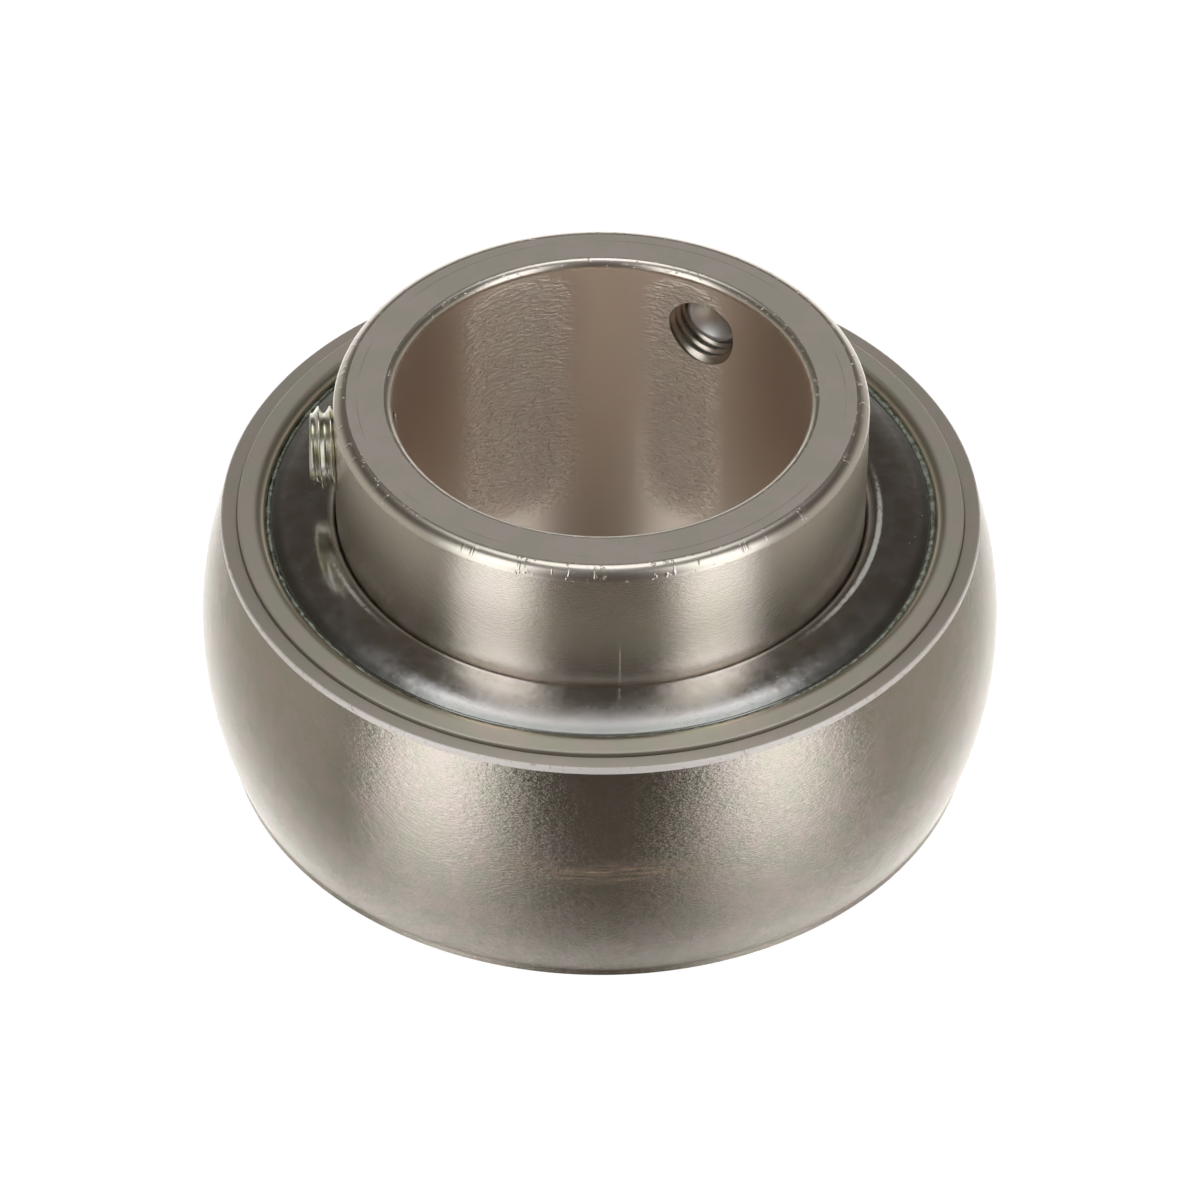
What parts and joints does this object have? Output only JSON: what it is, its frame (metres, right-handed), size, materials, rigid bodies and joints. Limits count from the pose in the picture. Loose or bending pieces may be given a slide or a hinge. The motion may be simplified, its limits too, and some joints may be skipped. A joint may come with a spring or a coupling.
{
  "type": "ball bearing",
  "caption": "Wide inner ring ball bearing insert with a spherical outside, for a pillow block or flange housing, locked to its shaft by set screws.",
  "frame": {"origin": "centre of the outer ring, on the bearing axis in the plane of the ball row", "axes": "+Z along the bearing axis towards the set-screw end of the inner ring"},
  "size_m": [0.062, 0.062, 0.0381],
  "materials": {
    "ring_steel": "fine ground bearing steel, warm grey",
    "retainer_steel": "pressed steel, satin",
    "flinger_steel": "pressed steel, polished, oily",
    "screw_steel": "threaded alloy steel, lightly plated",
    "ball_steel": "lapped chrome steel, mirror",
    "cage_steel": "pressed sheet steel",
    "rivet_steel": "headed wire",
    "seal_rubber": "moulded nitrile, matte"
  },
  "bodies": {
    "outer": {"outer_ring": "ring_steel", "seal_retainer_upper": "retainer_steel", "seal_retainer_lower": "retainer_steel", "rubber_seal_upper": "seal_rubber", "rubber_seal_lower": "seal_rubber"},
    "inner": {"inner_ring": "ring_steel", "flinger_upper": "flinger_steel", "flinger_lower": "flinger_steel"},
    "cage": {"cage_upper": "cage_steel", "cage_lower": "cage_steel", "cage_rivets": "rivet_steel"},
    "ball_1": {"ball_1": "ball_steel"},
    "ball_2": {"ball_2": "ball_steel"},
    "ball_3": {"ball_3": "ball_steel"},
    "ball_4": {"ball_4": "ball_steel"},
    "ball_5": {"ball_5": "ball_steel"},
    "ball_6": {"ball_6": "ball_steel"},
    "ball_7": {"ball_7": "ball_steel"},
    "ball_8": {"ball_8": "ball_steel"},
    "ball_9": {"ball_9": "ball_steel"},
    "screw_a": {"set_screw_a": "screw_steel"},
    "screw_b": {"set_screw_b": "screw_steel"}
  },
  "joints": [
    {"name": "inner_spin", "type": "hinge", "parent": "outer", "child": "inner", "pos_m": [0, 0, 0], "axis": [0, 0, 1], "continuous": true},
    {"name": "cage_spin", "type": "hinge", "parent": "outer", "child": "cage", "pos_m": [0, 0, 0], "axis": [0, 0, 1], "continuous": true},
    {"name": "ball_1_spin", "type": "hinge", "parent": "cage", "child": "ball_1", "pos_m": [0.023, 0, 0], "axis": [0, 0, 1], "continuous": true},
    {"name": "ball_2_spin", "type": "hinge", "parent": "cage", "child": "ball_2", "pos_m": [0.01762, 0.01478, 0], "axis": [0, 0, 1], "continuous": true},
    {"name": "ball_3_spin", "type": "hinge", "parent": "cage", "child": "ball_3", "pos_m": [0.00399, 0.02265, 0], "axis": [0, 0, 1], "continuous": true},
    {"name": "ball_4_spin", "type": "hinge", "parent": "cage", "child": "ball_4", "pos_m": [-0.0115, 0.01992, 0], "axis": [0, 0, 1], "continuous": true},
    {"name": "ball_5_spin", "type": "hinge", "parent": "cage", "child": "ball_5", "pos_m": [-0.02161, 0.00787, 0], "axis": [0, 0, 1], "continuous": true},
    {"name": "ball_6_spin", "type": "hinge", "parent": "cage", "child": "ball_6", "pos_m": [-0.02161, -0.00787, 0], "axis": [0, 0, 1], "continuous": true},
    {"name": "ball_7_spin", "type": "hinge", "parent": "cage", "child": "ball_7", "pos_m": [-0.0115, -0.01992, 0], "axis": [0, 0, 1], "continuous": true},
    {"name": "ball_8_spin", "type": "hinge", "parent": "cage", "child": "ball_8", "pos_m": [0.00399, -0.02265, 0], "axis": [0, 0, 1], "continuous": true},
    {"name": "ball_9_spin", "type": "hinge", "parent": "cage", "child": "ball_9", "pos_m": [0.01762, -0.01478, 0], "axis": [0, 0, 1], "continuous": true},
    {"name": "screw_a_travel", "type": "slide", "parent": "inner", "child": "screw_a", "axis": [-0.9998, -0.0175, 0], "range_m": [-0.00181, 0.00091]},
    {"name": "screw_b_travel", "type": "slide", "parent": "inner", "child": "screw_b", "axis": [0.4848, 0.8746, 0], "range_m": [-0.00181, 0.00091]}
  ],
  "couplings": [
    {"joint": "cage_spin", "follows": "inner_spin", "ratio": 0.39647},
    {"joint": "ball_1_spin", "follows": "inner_spin", "ratio": -2.3112},
    {"joint": "ball_2_spin", "follows": "inner_spin", "ratio": -2.3112},
    {"joint": "ball_3_spin", "follows": "inner_spin", "ratio": -2.3112},
    {"joint": "ball_4_spin", "follows": "inner_spin", "ratio": -2.3112},
    {"joint": "ball_5_spin", "follows": "inner_spin", "ratio": -2.3112},
    {"joint": "ball_6_spin", "follows": "inner_spin", "ratio": -2.3112},
    {"joint": "ball_7_spin", "follows": "inner_spin", "ratio": -2.3112},
    {"joint": "ball_8_spin", "follows": "inner_spin", "ratio": -2.3112},
    {"joint": "ball_9_spin", "follows": "inner_spin", "ratio": -2.3112}
  ]
}
